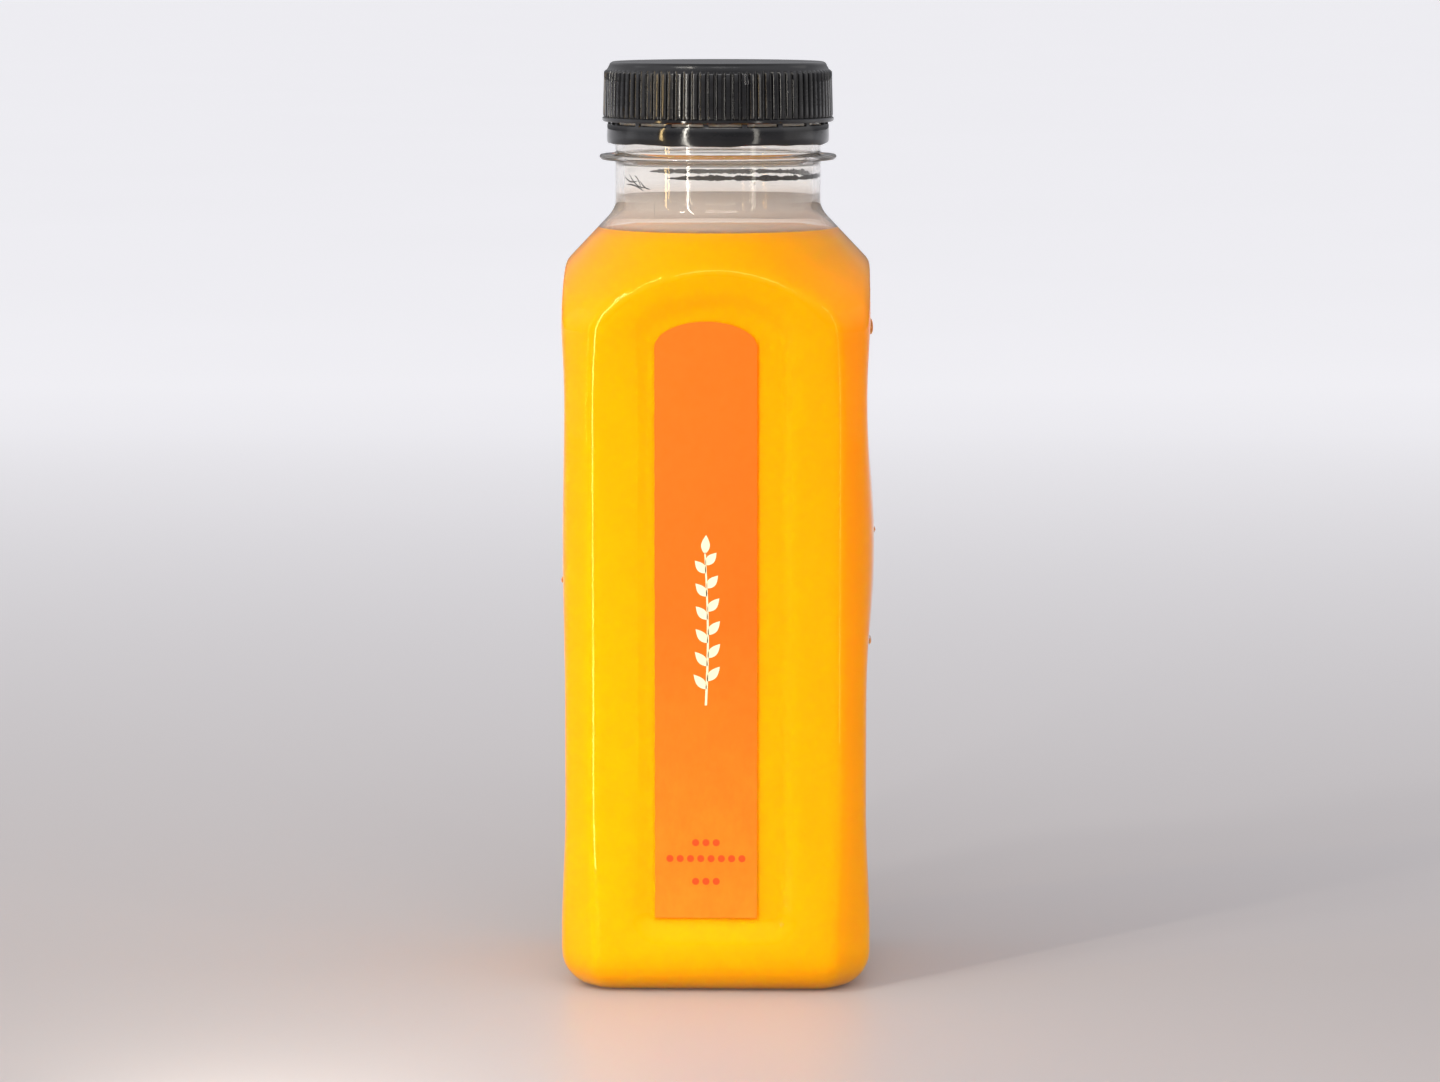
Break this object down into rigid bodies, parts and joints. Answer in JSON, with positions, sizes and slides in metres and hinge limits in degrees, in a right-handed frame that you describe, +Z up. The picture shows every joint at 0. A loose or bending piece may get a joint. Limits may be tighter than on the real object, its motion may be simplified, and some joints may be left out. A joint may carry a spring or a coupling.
{
  "type": "bottle of orange juice",
  "caption": "Small square clear plastic bottle filled with orange juice, with a black ribbed screw cap and a narrow arched label.",
  "frame": {"origin": "centre of the base, on the surface that the bottle stands on", "axes": "+Z up through the cap, the label faces -Y, +X to the right of the label"},
  "size_m": [0.0538, 0.0538, 0.1608],
  "materials": {
    "clear_plastic": "clear blow-moulded plastic, glossy, with soft ripples",
    "juice": "cloudy yellow-orange juice",
    "black_plastic": "black moulded plastic, satin, ribbed",
    "label_paper": "matt orange label with a pale mark in its middle and red marks near its foot"
  },
  "bodies": {
    "root": {"bottle": "clear_plastic", "juice": "juice", "cap": "black_plastic", "label": "label_paper"}
  },
  "joints": []
}
